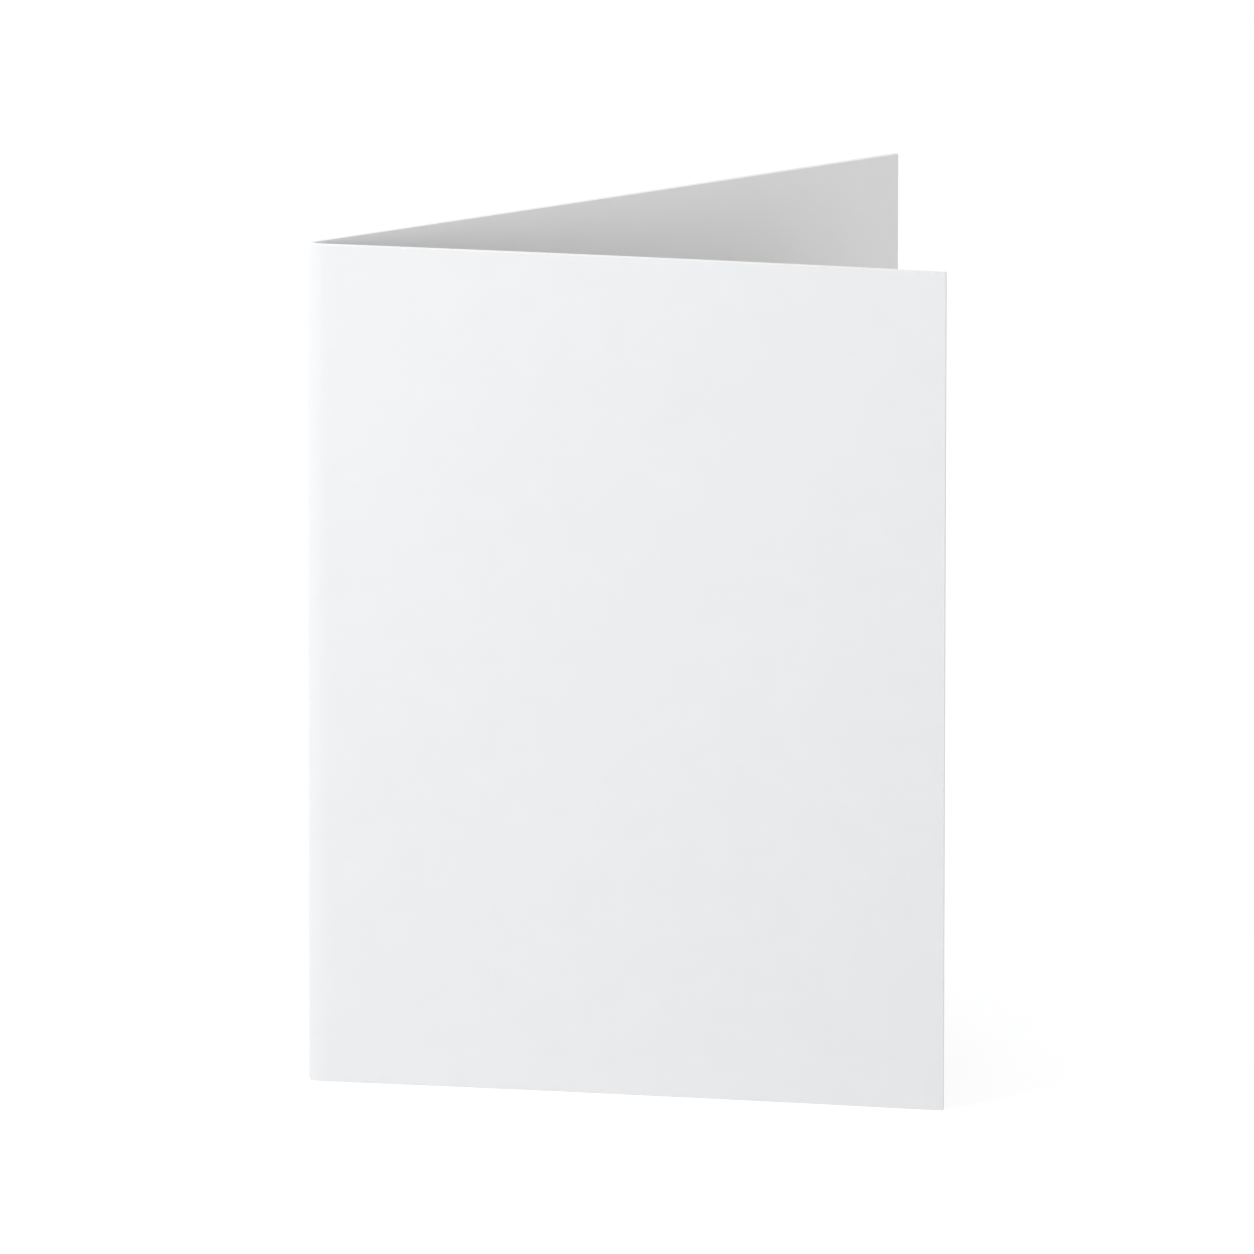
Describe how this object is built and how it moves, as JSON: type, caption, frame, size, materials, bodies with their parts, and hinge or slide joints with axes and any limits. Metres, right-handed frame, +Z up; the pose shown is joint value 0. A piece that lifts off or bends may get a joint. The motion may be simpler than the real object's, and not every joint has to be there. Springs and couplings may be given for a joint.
{
  "type": "greeting card",
  "caption": "Blank folded card of heavy white cotton board, standing open in a V on its lower cut edge.",
  "frame": {"origin": "foot of the fold's axis, on the surface that the card stands on", "axes": "+Z up the fold; +X along the middle of the opening, from the fold to the open side; the cover is on the -Y side and the back on the +Y side"},
  "size_m": [0.1225, 0.0672, 0.1778],
  "materials": {
    "cotton_board": "matt uncoated board with a fine felt tooth and square-cut edges"
  },
  "bodies": {
    "root": {"folded_card": "cotton_board"}
  },
  "joints": []
}
